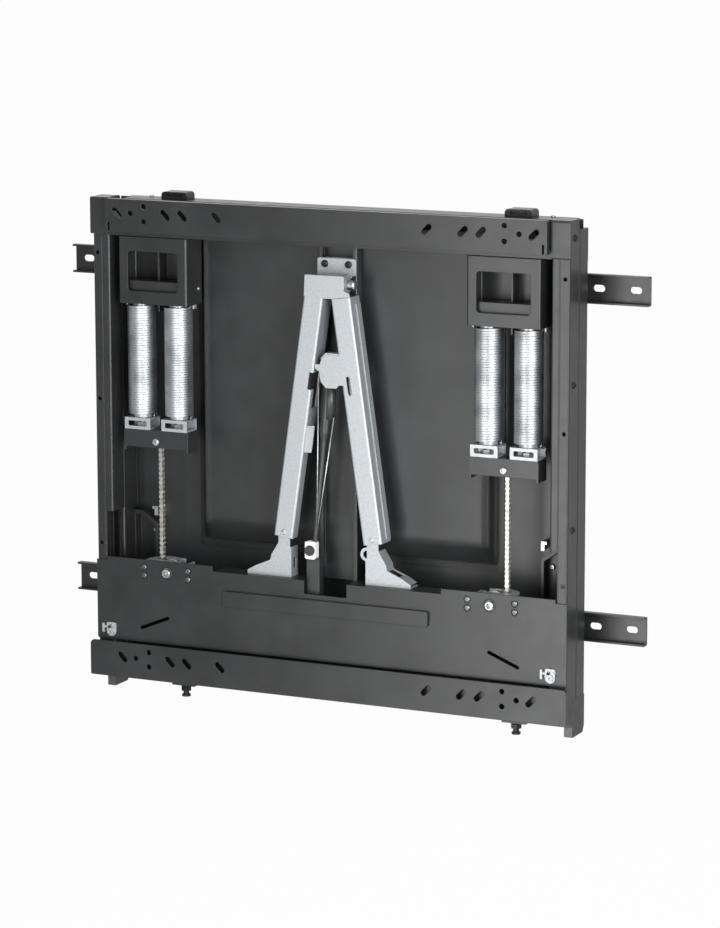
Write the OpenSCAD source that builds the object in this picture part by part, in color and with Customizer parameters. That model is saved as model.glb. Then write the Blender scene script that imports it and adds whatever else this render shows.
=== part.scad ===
// Height-adjustable wall mount for a large television or flat display.
// A carriage with two hanging beams slides up and down on a fixed back frame,
// and four tension springs carry the weight of the display.
// Millimetres, +Z up. X runs along the wall, the wall is the plane Y = 0 and the
// front of the mount looks along -Y. The origin lies midway between the wall rails.

/* [Wall rails] */
// Length of each wall rail
rail_len = 832; // [780:2:900]
// Height of each wall rail
rail_h = 38; // [34:1:44]
// Depth of the rail, from the wall to its front edges
rail_depth = 12; // [10:0.5:14]
// Sheet thickness of the rails
rail_wall = 2.5; // [2:0.25:3]
// Distance between the two rails, centre to centre
rail_spacing = 440; // [420:5:460]
// Length of a slot in the rail
slot_len = 16; // [12:1:24]
// Width of a slot in the rail
slot_w = 9; // [7:0.5:11]
// Distance from slot to slot
slot_pitch = 50; // [40:2:60]
// Distance from the rail's end to the centre of its last slot
slot_end = 20; // [16:1:26]

/* [Fixed frame] */
// Width over the two uprights
frame_w = 681; // [665:1:700]
// Width of one upright
upright_w = 24.5; // [23:0.5:26]
// Depth of a fixed upright
fixed_d = 31; // [29:0.5:33]
// Distance from the rails to the back of the fixed uprights
stand_off = 14; // [12:0.5:16]
// Top of the fixed frame above the origin
fixed_top = 300; // [298:1:304]
// Bottom of the fixed frame below the origin
fixed_bottom = 304; // [302:1:310]
// Sheet thickness of uprights and beams
sheet = 2; // [1.8:0.1:2.2]
// Thickness of the back pan and of its raised panel
pan_t = 1.5; // [1.2:0.1:2]
// Width of the bay between the raised panel and an upright
bay_w = 111; // [108:1:120]
// How far the raised panel stands in front of the pan
raised_h = 19.5; // [17:0.5:21]
// Lower edge of the raised panel below the origin
raised_low = 122.5; // [115:0.5:130]

/* [Centre channel] */
// Width of the centre channel
chan_w = 56; // [54:1:60]
// Depth of the centre channel
chan_d = 17; // [16:0.5:19]

/* [Carriage] */
// Depth of a moving upright
moving_d = 31; // [29:0.5:33]
// Running gap between fixed and moving uprights
slide_gap = 1; // [0.8:0.1:1.5]
// Travel of the carriage
travel = 400; // [350:5:400]
// Top of the carriage above the origin
carriage_top = 315; // [312:1:320]
// From the top of the upper beam down to its row of holes
row_down = 18.5; // [17:0.5:22]
// From the lower row of holes down to the bottom of the lower beam
row_up = 28; // [24:0.5:30]
// Depth of the gap in front of the uprights that the beams fill
beam_d = 12; // [11:0.5:14]
// Height of the upper beam
top_beam_h = 43.5; // [42:0.5:50]
// Height of the lower beam
low_beam_h = 48; // [44:0.5:52]
// How far the lower beam reaches past the uprights
beam_over = 5.5; // [4:0.5:8]
// Vertical distance between the hole rows of the two beams
row_spacing = 600; // [590:5:600]

/* [Springs] */
// Outer diameter of a spring
spring_od = 38; // [34:0.5:40]
// Wire diameter of a spring
wire_d = 4.6; // [3.5:0.1:5]
// Number of turns of a spring
turns = 22; // [16:1:22]
// Distance between the two springs of a pair
pair_pitch = 55; // [50:1:58]
// Distance from an upright's inner face to the middle of a pair of springs
pair_in = 65; // [64:0.5:67]
// Length of a spring between its seats
spring_len = 153; // [145:1:156]

/* [Spring hangers] */
// Width of a spring hanger box
hanger_w = 101.5; // [99:0.5:104]
// Height of a spring hanger box
hanger_h = 89; // [85:1:92]
// Top of a hanger box above the origin
hanger_top = 264.5; // [262:0.5:266]
// Width of the window in the hanger box
window_w = 74.5; // [68:0.5:78]
// Height of the window in the hanger box
window_h = 53; // [46:1:56]

/* [Lift chains] */
// Pitch of the chain
chain_pitch = 6.35; // [6.35]
// Number of links in the chain
links = 27; // [25:1:27]
// Height of a chain plate
link_h = 6; // [5:0.1:6]
// Radius of a chain drum's flange
flange_r = 17; // [15:0.5:18]

/* [Strut frame] */
// Width of a leg's face
leg_w = 27.5; // [25:0.5:28]
// Depth of a leg
leg_d = 28; // [24:0.5:29]
// Splay of each leg in degrees
splay = 8.05; // [7:0.05:8.5]
// Sheet thickness of the legs
leg_t = 2; // [1.5:0.1:2.5]

/* [Lower panel] */
// Top edge of the lower panel below the origin
panel_top = 169.5; // [168:0.5:172]
// Drop of the panel's middle part, which carries the strut frame
panel_drop = 7; // [5:0.5:9]

/* [Hidden] */

black = "#3a3b3d";
dark = "#232426";
zinc = "#c9d0d6";
steel = "#a9adb0";
nylon = "#ecebe4";
chain_metal = "#d8d2c4";
$fn = 48;
eps = 0.01;

rail_z = rail_spacing / 2;
pan_back = -rail_depth;
pan_face = pan_back - pan_t;
fixed_back = pan_back - stand_off;
fixed_front = fixed_back - fixed_d;
moving_back = fixed_front - slide_gap;
moving_front = moving_back - moving_d;
panel_front = moving_front - sheet;
front = panel_front - beam_d;
upright_x = frame_w / 2 - upright_w / 2;
inner_x = frame_w / 2 - upright_w;
raised_half = inner_x - bay_w;
pair_x = inner_x - pair_in;
panel_half = frame_w / 2 + 0.5;
top_beam_half = inner_x - 1;
low_beam_half = frame_w / 2 + beam_over;
raised_face = pan_face - raised_h;
chan_front = raised_face - chan_d;
bend_r = sheet + 0.5;

spring_y = panel_front + 20;
spring_r = (spring_od - wire_d) / 2;
spring_xs = [-pair_x - pair_pitch / 2, -pair_x + pair_pitch / 2,
    pair_x - pair_pitch / 2, pair_x + pair_pitch / 2];
ring_steps = 8;
ring_sides = 6;
hanger_low = hanger_top - hanger_h;
hanger_front = panel_front + 0.4;
hanger_back = hanger_front + 44.6;
hanger_t = 2;
seat_gap = 0.3;
spring_hi = hanger_low - seat_gap;
spring_lo = spring_hi - spring_len;
clip_top = spring_lo - seat_gap;
clip_h = 15.5;
yoke_top = clip_top - clip_h;
yoke_h = 23.5;
yoke_w = 96;
yoke_front = panel_front + 4;
yoke_d = 27;
yoke_bolt_z = yoke_top - 15.5;
chain_y = spring_y;
drum_r = 13.1;
link_gap = 0.3;
drum_x = pair_x - drum_r - link_gap - link_h / 2;
drum_z = -panel_top - 15.8;
journal_r = 6;
run_gap = 0.05;
roller_y = fixed_back - fixed_d / 2;
roller_r = fixed_d / 2 - sheet - seat_gap;
axle_r = 4;
roller_plate = 3;
roller_zs = [285, 130];
strut_y = moving_front + 6;
row_top = carriage_top - row_down;
row_low = row_top - row_spacing;
carriage_bottom = row_up - row_low;
moving_low = fixed_bottom + 1;
pan_top = fixed_top + 10;
slider_low = 221;
slider_h = 24;
chan_low = travel - slider_low + 4;

module block(lo, hi) {
    translate(lo) cube(hi - lo);
}

module both() {
    children();
    mirror([1, 0, 0]) children();
}

module both2d() {
    children();
    mirror([1, 0]) children();
}

// The drawing's x and y become world y and z
module along_x(len) {
    rotate([90, 0, 90]) linear_extrude(len, center = true) children();
}

module from_x(x0, x1) {
    translate([(x0 + x1) / 2, 0, 0]) along_x(x1 - x0) children();
}

// The drawing's x and y become world x and z, and its depth runs from y0 to y1
module along_y(y0, y1) {
    translate([0, y1, 0]) rotate([90, 0, 0]) linear_extrude(y1 - y0) children();
}

module along_z(z0, z1) {
    translate([0, 0, z0]) linear_extrude(z1 - z0) children();
}

module round_rect(size, r) {
    translate([r, 0]) square([size.x - 2 * r, size.y]);
    translate([0, r]) square([size.x, size.y - 2 * r]);
    for (x = [r, size.x - r])
        for (y = [r, size.y - r])
            translate([x, y]) circle(r);
}

module slot2d(len, w) {
    square([len - w, w], center = true);
    for (s = [-1, 1])
        translate([s * (len - w) / 2, 0]) circle(d = w);
}

// Folded channel: its web lies on y = 0 and its flanges run to y = d
module channel2d(w, d, t, r) {
    intersection() {
        difference() {
            translate([-w / 2, 0]) round_rect([w, 2 * d], r);
            translate([t - w / 2, t]) round_rect([w - 2 * t, 2 * d], r - t + 0.2);
        }
        translate([-w / 2, 0]) square([w, d]);
    }
}

module lipped2d(w, d, t, r, mouth) {
    difference() {
        translate([-w / 2, 0]) round_rect([w, d], r);
        translate([t - w / 2, t]) round_rect([w - 2 * t, d - 2 * t], r - t + 0.2);
        translate([-mouth / 2, d - t - 1]) square([mouth, t + 2]);
    }
}

module rod_y(r, y0, y1) {
    translate([0, y1, 0]) rotate([90, 0, 0]) cylinder(r = r, h = y1 - y0);
}

module rod_x(r, x0, x1) {
    translate([x0, 0, 0]) rotate([0, 90, 0]) cylinder(r = r, h = x1 - x0);
}

// Button-head screw that looks along -Y: its head stands in front of y and its shank behind
module button_screw(y, head_r, head_h, shank_r, shank) {
    translate([0, y, 0]) rotate([-90, 0, 0]) difference() {
        rotate_extrude() {
            polygon([[0, -head_h], [head_r * 0.62, -head_h], [head_r * 0.9, -head_h * 0.6],
                [head_r, 0], [shank_r, 0], [shank_r, shank], [0, shank]]);
        }
        translate([0, 0, -head_h - 1]) cylinder(r = head_r * 0.42, h = head_h * 0.6 + 1, $fn = 6);
    }
}

// Wall rails

module wall_rail(z) {
    slots = floor((rail_len / 2 - slot_end - slot_len / 2) / slot_pitch);
    color(black) translate([0, 0, z]) difference() {
        along_x(rail_len) rotate(90) channel2d(rail_h, rail_depth, rail_wall, rail_wall + 0.5);
        for (s = [-1, 1])
            for (i = [0:slots])
                translate([s * (rail_len / 2 - slot_end - i * slot_pitch), 0, 0])
                    along_y(-rail_wall - 1, 1) slot2d(slot_len, slot_w);
    }
}

module top_wall_rail() {
    wall_rail(rail_z);
}

module bottom_wall_rail() {
    wall_rail(-rail_z);
}

// Back pan, with its side walls folded forward to the fixed uprights

pan_bolt_x = inner_x - 46;
lip_bolt_x = inner_x + 11.6;

module back_pan() {
    wall_x = inner_x + 6;
    lip = 12;
    top = pan_top;
    low = -fixed_bottom + 2;
    color(black) difference() {
        union() {
            along_z(low, top) {
                translate([-wall_x, pan_face]) square([2 * wall_x, pan_t]);
                both2d() {
                    translate([wall_x - pan_t, fixed_back]) square([pan_t, stand_off]);
                    translate([wall_x - pan_t, fixed_back]) square([lip, pan_t]);
                }
            }
            block([-wall_x, pan_face - 12, low], [wall_x, pan_face, low + pan_t]);
            block([-wall_x, pan_face - 12, top - pan_t], [wall_x, pan_face, top]);
        }
        along_y(pan_face - 1, pan_back + 1)
            translate([-raised_half + 14, -raised_low + 4])
                round_rect([2 * raised_half - 28, raised_low + fixed_top - 36], 12);
        both() for (z = [-rail_z, rail_z])
            translate([pan_bolt_x, 0, z]) rod_y(3.2, pan_face - 1, pan_back + 1);
        both() for (z = [-rail_z, 0, rail_z])
            translate([lip_bolt_x, 0, z]) rod_y(3.2, fixed_back - 1, fixed_back + pan_t + 1);
    }
}

// Tray pressed forward in the middle of the pan, with sloping walls
module raised_panel() {
    slope = tray_slope;
    rim = slope + tray_rim;
    top = fixed_top - 26;
    color(black) difference() {
        union() {
            tray(0, slope, tray_foot, top);
            along_y(pan_face - pan_t, pan_face)
                translate([-raised_half - rim, -raised_low - tray_foot - tray_rim])
                    square([2 * (raised_half + rim), raised_low + tray_foot + tray_rim + top]);
        }
        tray(pan_t, slope, tray_foot, top - pan_t);
        block([-chan_w / 2 + 6, raised_face - 1, -raised_low + 20],
            [chan_w / 2 - 6, raised_face + pan_t + 1, top - 30]);
    }
}

tray_slope = 8;
tray_foot = 28;
tray_rim = 9;

module tray(inset, slope, foot, top) {
    face = raised_face + inset;
    half = raised_half - inset;
    back = pan_face + (inset > 0 ? 1 : 0);
    intersection() {
        along_z(-raised_low - foot - 1, top)
            polygon([[-half - slope, back], [-half, face], [half, face], [half + slope, back]]);
        along_x(2 * (half + slope) + 2)
            polygon([[back, -raised_low - foot + inset], [face, -raised_low + inset],
                [face, top], [back, top]]);
    }
}

// Channel in which the strut frame's slider runs
module centre_channel() {
    top = fixed_top - 26;
    lip = 4;
    color(dark) difference() {
        along_z(-chan_low, top) translate([0, raised_face]) rotate(180)
            lipped2d(chan_w, chan_d, sheet, bend_r, chan_w - 2 * sheet - 2 * lip);
        block([-chan_w / 2 - 1, chan_front - 1, -chan_low - 1],
            [-chan_w / 2 + 9, raised_face - sheet, -chan_low + 18]);
    }
    color(dark) block([-chan_w / 2, pan_face, 0] + [0, -raised_h, -chan_low],
        [chan_w / 2, pan_face, -chan_low + 3]);
}

// Uprights of the fixed frame: lipped channels that hold the guide rollers

roller_mouth = 10;

module right_fixed_upright() {
    color(black) {
        difference() {
            along_z(-fixed_bottom, fixed_top)
                translate([upright_x, fixed_back]) rotate(180)
                    lipped2d(upright_w, fixed_d, sheet, bend_r, roller_mouth);
            for (z = [-rail_z, 0, rail_z])
                translate([lip_bolt_x, 0, z]) rod_y(3.2, fixed_back - sheet - 1, fixed_back + 1);
            block([frame_w / 2 - 4, fixed_back - 3, -fixed_bottom - 1],
                [frame_w / 2 + 1, fixed_back + 1, fixed_top - 42]);
        }
        block([inner_x + 1, fixed_front + 1, fixed_top - pan_t],
            [frame_w / 2 - 1, fixed_back - 1, fixed_top]);
    }
}

module left_fixed_upright() {
    mirror([1, 0, 0]) right_fixed_upright();
}

// Cross ties behind the beams, folded as angles
module tie(z0, z1, flange_z) {
    end_x = inner_x;
    color(black) difference() {
        union() {
            block([-end_x, fixed_back - sheet, z0], [end_x, fixed_back, z1]);
            block([-end_x, fixed_back - 22, flange_z], [end_x, fixed_back, flange_z + sheet]);
        }
        for (i = [-5:5])
            translate([i * 56, 0, (z0 + z1) / 2])
                along_y(fixed_back - sheet - 1, fixed_back + 1) slot2d(26, 12);
    }
}

module top_tie() {
    tie(fixed_top - 26 + seat_gap, pan_top, pan_top - sheet);
}

module bottom_tie() {
    tie(-fixed_bottom, -fixed_bottom + 34, -fixed_bottom);
}

// Spring hanger: a box on the pan with a window through which the anchor studs are reached

module right_spring_hanger() {
    sill = 17;
    bar_h = 28;
    web_x = pair_x + 1.3;
    window_low = hanger_low + sill;
    color(black) difference() {
        union() {
            difference() {
                hanger_box(0, hanger_low, hanger_top);
                hanger_box(hanger_t, hanger_low + hanger_t, hanger_top - hanger_t);
                along_y(hanger_front - 1, hanger_front + hanger_t + 1)
                    translate([pair_x - window_w / 2, window_low])
                        round_rect([window_w, window_h], 5);
            }
            block([pair_x - hanger_w / 2 + hanger_t, spring_y - 13, hanger_low + hanger_t],
                [pair_x + hanger_w / 2 - hanger_t, spring_y + 13, hanger_low + hanger_t + bar_h]);
            block([web_x, spring_y + 2, hanger_low - 12],
                [web_x + 2.8, hanger_back, window_low + window_h]);
            hanger_pedestal(0);
        }
        hanger_pedestal(hanger_t);
        for (s = [-1, 1])
            translate([pair_x + s * pair_pitch / 2, spring_y, hanger_low - 1])
                cylinder(r = stud_r + 0.3, h = stud_h + 1.3);
    }
}

module hanger_box(inset, z0, z1) {
    along_z(z0, z1) translate([pair_x - hanger_w / 2 + inset, hanger_front + inset])
        round_rect([hanger_w - 2 * inset, hanger_back - hanger_front - 2 * inset], 3 - inset / 2);
}

// Hollow block that holds the hanger box away from the pan
module hanger_pedestal(inset) {
    reach = inset > 0 ? 1 : 0;
    block([raised_half + tray_slope + tray_rim + 3 + inset, hanger_back - eps, hanger_low + 12 + inset],
        [pair_x + hanger_w / 2 - 6 - inset, pan_face + reach, hanger_top - 8 - inset]);
}

module left_spring_hanger() {
    mirror([1, 0, 0]) right_spring_hanger();
}

stud_r = 5;
plug_r = spring_r * cos(180 / ring_steps) - wire_d / 2 - 0.4;
stud_h = 24;

module spring_top_plugs() {
    color(steel) for (x = spring_xs) translate([x, spring_y, 0]) {
        translate([0, 0, hanger_low - 24]) cylinder(r = plug_r, h = 24);
        translate([0, 0, hanger_low - eps]) cylinder(r = stud_r, h = stud_h);
    }
}

// Hooks on top of the back frame and levelling screws below it

clip_x = inner_x - 72.5;
hook_x = inner_x - 68.5;

module top_hooks() {
    hook_w = 38;
    hook_h = 9.5;
    hook_y = fixed_back - 9;
    color(dark) both() translate([hook_x, 0, pan_top]) difference() {
        along_y(hook_y, pan_back) intersection() {
            translate([-hook_w / 2, -hook_h]) round_rect([hook_w, 2 * hook_h], 5);
            translate([-hook_w / 2, 0]) square([hook_w, hook_h]);
        }
        block([-12, hook_y - 1, 2.5], [12, hook_y + 5, 6.5]);
    }
}

foot_low = fixed_bottom + 50;
foot_screw_y = pan_face - 8.5;

module levelling_feet() {
    top = fixed_bottom - 2;
    back = pan_face + 1.5;
    color(dark) both() translate([clip_x, 0, 0]) difference() {
        union() {
            block([-17, back - 2.5, -foot_low], [17, back, -top]);
            block([-17, fixed_back + 1, -top - 2.5], [17, back, -top]);
            block([-17, foot_screw_y - 9, -foot_low], [17, back, -foot_low + 2.5]);
            for (s = [-1, 1])
                translate([s * 15.75, 0, 0]) along_x(2.5)
                    polygon([[back, -foot_low + 2], [foot_screw_y - 9, -foot_low + 2],
                        [foot_screw_y - 9, -foot_low + 8], [back - 2, -foot_low + 30]]);
        }
        translate([0, foot_screw_y, -foot_low - 1]) cylinder(r = 4.3, h = 5);
    }
}

module levelling_screws() {
    color(steel) both() translate([clip_x, foot_screw_y, -foot_low]) {
        translate([0, 0, -14]) cylinder(r = 4, h = 38);
        translate([0, 0, -8]) cylinder(r = 7.5, h = 5.5, $fn = 6);
        translate([0, 0, 2.5]) cylinder(r = 7.5, h = 6.5, $fn = 6);
        translate([0, 0, -16]) cylinder(r = 6, h = 3);
    }
}

// Travel stops in the lower corners of the pan
module bay_brackets() {
    z0 = -panel_top - 25;
    color(black) both() difference() {
        along_y(pan_face - 17, pan_face) bay_stop(0, z0);
        along_y(pan_face - 18, pan_face - 2) bay_stop(bay_wall, z0);
        translate([stop_bolt.x, 0, stop_bolt.y]) rod_y(2.1, pan_face - 3, pan_face + 1);
    }
}

bay_wall = 4.5;
stop_bolt = [inner_x - 25, -panel_top + 25.5];

module bay_stop(inset, z0) {
    x0 = inner_x - 36.1 + inset;
    x1 = inner_x - inset / 2;
    rise = z0 - 0.7 * inset;
    foot = z0 - (inset > 0 ? 1 : 0);
    polygon([[x0, foot], [x0, rise + 63], [x0 + 23 - inset, rise + 79 - 0.7 * inset],
        [x1, rise + 79 - 0.7 * inset], [x1, foot]]);
}

module frame_bolts() {
    color(steel) both() {
        for (z = [-rail_z, rail_z])
            translate([pan_bolt_x, 0, z])
                button_screw(pan_face, 6.5, 3.8, 3, -pan_face - rail_wall - seat_gap);
        for (z = [-rail_z, 0, rail_z])
            translate([lip_bolt_x, fixed_back + pan_t, z]) rotate([0, 0, 180])
                button_screw(0, 5, 3, 3, pan_t + sheet - 0.1);
        block([inner_x - 36, pan_face - 17, -112.5], [inner_x - 28, pan_face - 15, -108.5]);
        block([inner_x - 36, pan_face - 17, -121], [inner_x - 31, pan_face - 15, -112.5]);
        block([inner_x - 36, pan_face - 15, -121], [inner_x - 34, pan_face, -108.5]);
        translate([stop_bolt.x, 0, stop_bolt.y]) button_screw(pan_face - 2, 4, 2.6, 2, 1.7);
    }
}

// Tension springs, each one unbroken length of wire whose ends turn square to their seats

end_bend = 4.2;
helix_lo = spring_lo + wire_d + end_bend;
helix_hi = spring_hi - wire_d - end_bend;
helix_pitch = (helix_hi - helix_lo) / turns;
climb = atan(helix_pitch / (2 * PI * spring_r));

// Each station along the wire is [centre, direction, sideways direction]
wire_path = concat(
    [for (h = [spring_lo, spring_lo + wire_d]) [[spring_r, -end_bend, h], [0, 0, 1], [1, 0, 0]]],
    [[[spring_r, -end_bend * cos(45), helix_lo - end_bend * (1 - sin(45))],
        [0, sin(45), cos(45)], [1, 0, 0]]],
    [for (k = [0:turns * ring_steps]) let (a = 360 * k / ring_steps)
        [[spring_r * cos(a), spring_r * sin(a), helix_lo + k * helix_pitch / ring_steps],
            [-sin(a) * cos(climb), cos(a) * cos(climb), sin(climb)], [cos(a), sin(a), 0]]],
    [[[spring_r, end_bend * sin(45), helix_hi + end_bend * (1 - cos(45))],
        [0, cos(45), sin(45)], [1, 0, 0]]],
    [for (h = [spring_hi - wire_d, spring_hi]) [[spring_r, end_bend, h], [0, 0, 1], [1, 0, 0]]]
);

module wire(path, r, sides) {
    rings = len(path);
    points = [for (s = path) for (i = [0:sides - 1]) let (a = 360 * i / sides)
        s[0] + r * (cos(a) * s[2] + sin(a) * cross(s[1], s[2]))];
    skin = [for (k = [0:rings - 2]) for (i = [0:sides - 1])
        let (j = (i + 1) % sides, a = k * sides + i, b = k * sides + j)
            for (f = [[a, a + sides, b], [b, a + sides, b + sides]]) f];
    ends = [for (i = [1:sides - 2]) for (f = [[0, i, i + 1],
        [(rings - 1) * sides, (rings - 1) * sides + i + 1, (rings - 1) * sides + i]]) f];
    polyhedron(points, concat(skin, ends));
}

turn_gap = min([for (i = [0:len(wire_path) - 1])
    for (j = [i + ring_steps / 2 + 1:1:len(wire_path) - 1])
        norm(wire_path[i][0] - wire_path[j][0])]) - wire_d;
echo(least_gap_between_turns_mm = turn_gap);

module tension_spring(i) {
    color(zinc) translate([spring_xs[i], spring_y, 0]) wire(wire_path, wire_d / 2, ring_sides);
}

module spring_1() {
    tension_spring(0);
}

module spring_2() {
    tension_spring(1);
}

module spring_3() {
    tension_spring(2);
}

module spring_4() {
    tension_spring(3);
}

// Moving uprights

module right_moving_upright() {
    color(black) difference() {
        along_z(-moving_low, carriage_top - sheet) difference() {
            translate([upright_x, moving_front]) channel2d(upright_w, moving_d, sheet, bend_r);
            translate([upright_x - 2, moving_front - 0.5]) square([1.6, 1.3]);
        }
        block([inner_x - 1, moving_front - 1, -panel_top - 4],
            [upright_x - 2, moving_back + 1, -108]);
        for (z = [-152, 44.5, 241])
            translate([upright_x + 6, 0, z]) rod_y(2.6, moving_front - 1, moving_front + sheet + 1);
        for (z = side_bolt_zs)
            translate([0, moving_front + 17, z]) rod_x(2.7, frame_w / 2 - 3, frame_w / 2 + 1);
    }
}

side_bolt_zs = [291.5, 104.8, -81.7];

module left_moving_upright() {
    mirror([1, 0, 0]) right_moving_upright();
}

module side_bolts() {
    color(steel) both() for (z = side_bolt_zs)
        translate([frame_w / 2, moving_front + 17, z]) rotate([0, 0, 90])
            button_screw(0, 4.6, 2.2, 2.5, 6);
}

// Beams: shallow pressed channels with the hole pattern for the display's arms

slot_ins = [165, 115, 90, 18];
dot_in = 38;
pair_dot_in = 58;
dot_rise = 9.9;
dot_r = 3.6;

module arm_holes(z, y0, y1) {
    both() along_y(y0, y1) translate([0, z]) {
        for (d = slot_ins)
            translate([top_beam_half - d, 0]) rotate(45) slot2d(17, 7.6);
        translate([top_beam_half - dot_in, 0]) circle(dot_r);
        for (s = [-1, 1])
            translate([top_beam_half - pair_dot_in, s * dot_rise]) circle(dot_r);
    }
}

beam_t = 2.5;

// Front plate with rounded corners and a rim behind it
// Front plate with a folded rim behind it; r holds the top and the bottom corner radius
module pressed_beam(half, z0, h, depth, r, rim_in, back_t) {
    along_y(front, front + beam_t) intersection() {
        translate([-half, z0 - 2 * r[0]]) round_rect([2 * half, h + 2 * r[0]], r[0]);
        translate([-half, z0]) round_rect([2 * half, h + 2 * r[0]], r[1]);
    }
    difference() {
        along_y(front + beam_t - eps, front + depth) translate([rim_in - half, z0 + rim_in])
            round_rect([2 * (half - rim_in), h - 2 * rim_in], beam_t + 0.5);
        along_y(front + beam_t - 2 * eps, front + depth + (back_t > 0 ? -back_t : 1))
            translate([rim_in + beam_t - half, z0 + rim_in + beam_t])
                round_rect([2 * (half - rim_in - beam_t), h - 2 * (rim_in + beam_t)], 0.5);
    }
}

module top_beam() {
    depth = beam_d - sheet;
    low = carriage_top - top_beam_h;
    notch_x = top_beam_half - 7;
    color(black) difference() {
        union() {
            pressed_beam(top_beam_half, low, top_beam_h, depth, [3.5, 3.5], 0, 0);
            both() block([top_beam_half - 24, front + 2, low + 1],
                [top_beam_half - 1, front + depth, carriage_top - 1]);
        }
        arm_holes(row_top, front - 1, front + depth + 1);
        both() block([notch_x, front - 1, low + 1.5], [notch_x + 3, front + depth + 1, low + 13]);
    }
}

module bottom_beam() {
    color(black) difference() {
        pressed_beam(low_beam_half, -carriage_bottom, low_beam_h, beam_d + sheet, [6, 2], 4,
            sheet);
        arm_holes(row_low, front - 1, front + 4);
    }
}

// Plates that carry the upper beam on the moving uprights
module corner_plates() {
    strip_low = hanger_top + 1.5;
    plate_front = panel_front - sheet;
    color(black) {
        block([-inner_x - 1, plate_front, strip_low], [inner_x + 1, panel_front, strip_low + 11]);
        both() from_x(inner_x + 0.5, frame_w / 2 + 2) difference() {
            translate([plate_front, strip_low])
                round_rect([moving_back - plate_front, carriage_top - strip_low], 3);
            translate([moving_front, strip_low - 1])
                square([moving_d + 1, carriage_top - strip_low + 1 - sheet]);
        }
    }
}

// Lower panel with a shelf for the strut frame

notch_half = 31;
step_x = 166;

foot_bolt_xs = [66, 104];
foot_bolt_y = strut_y + leg_t + 13;

module lower_panel() {
    drop = panel_top + panel_drop;
    low = carriage_bottom - low_beam_h - 0.6;
    color(black) difference() {
        union() {
            along_y(panel_front, moving_front) difference() {
                translate([-panel_half, -low]) round_rect([2 * panel_half, low - panel_top], 3);
                translate([-step_x, -drop]) square([2 * step_x, panel_drop + 1]);
                both2d() translate([upright_x - 3, -panel_top - 5]) square([upright_w, 6]);
                translate([-notch_half, -drop - 18]) square([2 * notch_half, 19]);
                for (s = [-1, 1])
                    translate([s * (pair_x + 2.7), -panel_top - 85.6]) rotate(-s * 22)
                        slot2d(47.5, 4.6);
                for (s = [-1, 1]) translate([s * drum_x, drum_z]) circle(journal_r + 0.8);
            }
            both() {
                difference() {
                    block([notch_half + 2, moving_front - eps, -drop - sheet],
                        [step_x - 2, fixed_front - 3, -drop]);
                    for (x = foot_bolt_xs)
                        translate([x, foot_bolt_y, -drop - sheet - 1])
                            cylinder(r = 2.6, h = sheet + 2);
                }
                for (x = [notch_half + 2, step_x - 4])
                    translate([x + 1, 0, 0]) along_x(2)
                        polygon([[moving_front - eps, -drop - 1], [moving_front - eps, -drop - 34],
                            [moving_front + 4, -drop - 34], [fixed_front - 4, -drop - 1]]);
            }
        }
        for (x = screw_xs) for (z = screw_zs) both() translate([x, 0, z]) {
            rod_y(1.7, panel_front - 1, moving_front + 1);
            rod_y(4.9, panel_front - 1, panel_front + screw_sink);
        }
        both() translate([drum_x, 0, drum_z]) rod_y(8.6, panel_front - 1, panel_front + screw_sink);
    }
}

screw_xs = [pair_x - 48, pair_x + 18];
screw_zs = [-panel_top - 10.5, -panel_top - 21.7];
screw_sink = 1.2;

module cover_strip() {
    half = step_x - 17;
    low = -panel_top - 52;
    h = 20.5;
    rim = 1.5;
    color(black) difference() {
        along_y(panel_front - 4.5, panel_front) translate([-half, low])
            round_rect([2 * half, h], 3);
        along_y(panel_front - 3, panel_front + 1) translate([rim - half, low + rim])
            round_rect([2 * (half - rim), h - 2 * rim], 2);
    }
}

module panel_screws() {
    color(steel) both() for (x = screw_xs) for (z = screw_zs)
        translate([x, 0, z])
            button_screw(panel_front + screw_sink, 3.9, 2, 1.6, sheet + 2.2 - screw_sink);
}

module catch_plates() {
    at = [panel_half - 21.7, -panel_top - 102.5];
    color(zinc) for (s = [-1, 1]) translate([s * at.x, 0, at.y]) {
        difference() {
            union() {
                along_y(panel_front - 2, panel_front) {
                    translate([-7, 0]) round_rect([14, 12], 2);
                    circle(7);
                }
                along_y(panel_front - 4, panel_front - 2) circle(4.8);
            }
            for (x = [-2, 6.6])
                translate([x, 0, 7.4]) rod_y(2.2, panel_front - 3, panel_front - 0.5);
            rod_y(1.4, panel_front - 5, panel_front - 3);
        }
        block([-13.4, panel_front - 3, -1.8], [-10.4, panel_front, 10.5]);
        block([-10.4, panel_front - 1.5, 4], [-6.5, panel_front, 7]);
    }
}

// End blocks close the moving uprights and stand below the fixed uprights

module end_blocks() {
    lo = -carriage_bottom - 23;
    toe = fixed_front - 9;
    color(dark) both() from_x(inner_x + 12.5, frame_w / 2)
        polygon([[moving_front, -moving_low], [moving_front, -carriage_bottom],
            [toe, -carriage_bottom - 6], [toe, lo], [fixed_back - 6, lo],
            [fixed_back - 1, lo + 9], [fixed_back - 1, -fixed_bottom - seat_gap],
            [fixed_front - 0.5, -fixed_bottom - seat_gap], [fixed_front - 0.5, -moving_low]]);
}

// Guide rollers on plates that reach through the mouths of the fixed uprights

module roller_brackets() {
    color(steel) both() for (z = roller_zs) translate([upright_x, 0, z]) difference() {
        union() {
            block([-roller_plate / 2, moving_front + sheet, -9],
                [roller_plate / 2, roller_y, 9]);
            block([-roller_plate / 2, moving_front + sheet, -16],
                [roller_plate / 2, fixed_front - 4, 16]);
            translate([0, roller_y, 0]) rod_x(9, -roller_plate / 2, roller_plate / 2);
            block([-upright_w / 2 + bend_r + 0.4, moving_front + sheet, -16],
                [upright_w / 2 - bend_r - 0.4, moving_front + sheet + 2.5, 16]);
        }
        translate([0, roller_y, 0]) rod_x(axle_r + run_gap, -20, 20);
    }
}

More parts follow.
